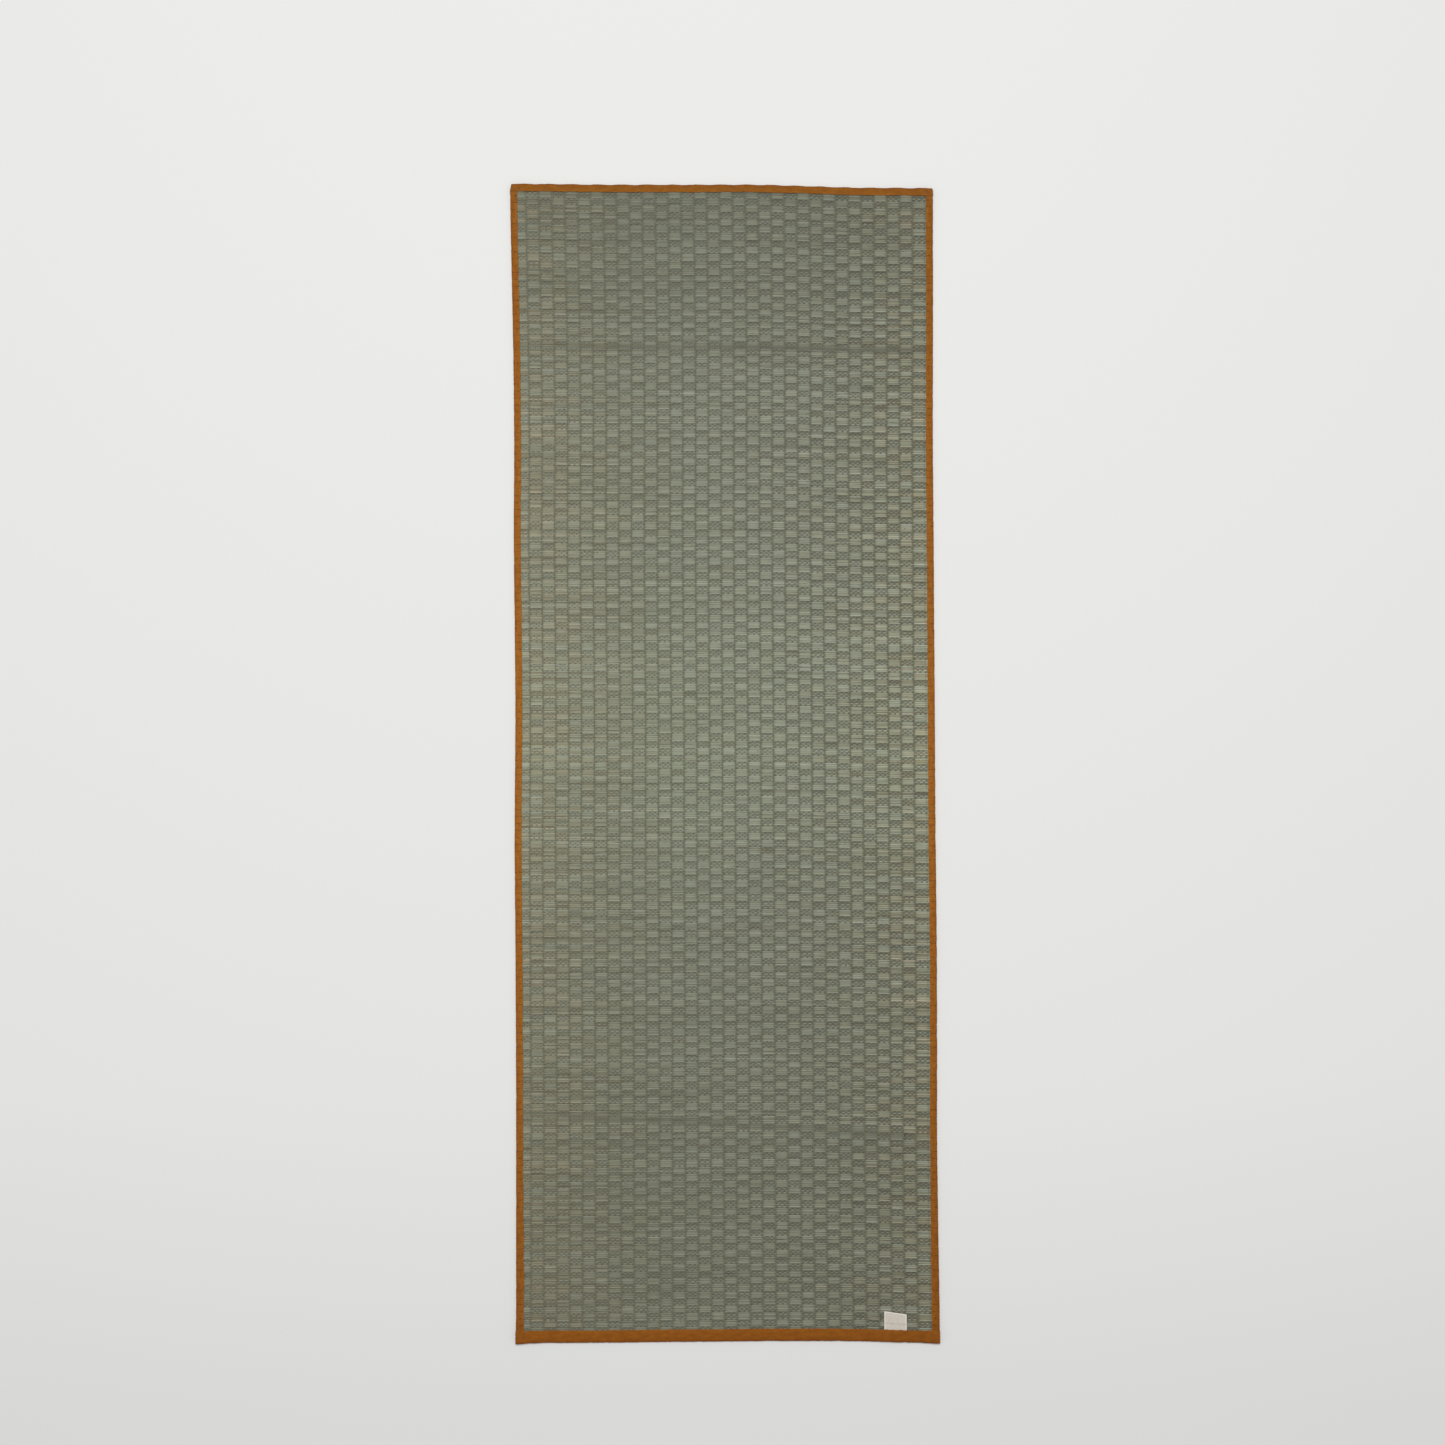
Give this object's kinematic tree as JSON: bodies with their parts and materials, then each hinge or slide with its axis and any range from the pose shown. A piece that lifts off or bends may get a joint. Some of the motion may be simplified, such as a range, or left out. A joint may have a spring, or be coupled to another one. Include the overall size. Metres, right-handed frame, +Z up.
{
  "type": "tatami mat",
  "caption": "Flat woven rush floor mat in a small checker weave, with a cotton tape folded over each edge and a small bare label at one corner",
  "frame": {"origin": "on the floor, under the middle of the mat's overall outline", "axes": "+Z up from the floor, +Y along the mat's length towards its end with the narrow tape, +X across its width towards the side with the label"},
  "size_m": [0.6621, 1.8062, 0.0074],
  "materials": {
    "rush": "dry woven rush stems, low satin",
    "binding": "matt brown cotton tape",
    "label": "matt cream cotton"
  },
  "bodies": {
    "root": {"rush_panel": "rush", "binding_left": "binding", "binding_right": "binding", "binding_top": "binding", "binding_bottom": "binding", "label": "label"}
  },
  "joints": []
}
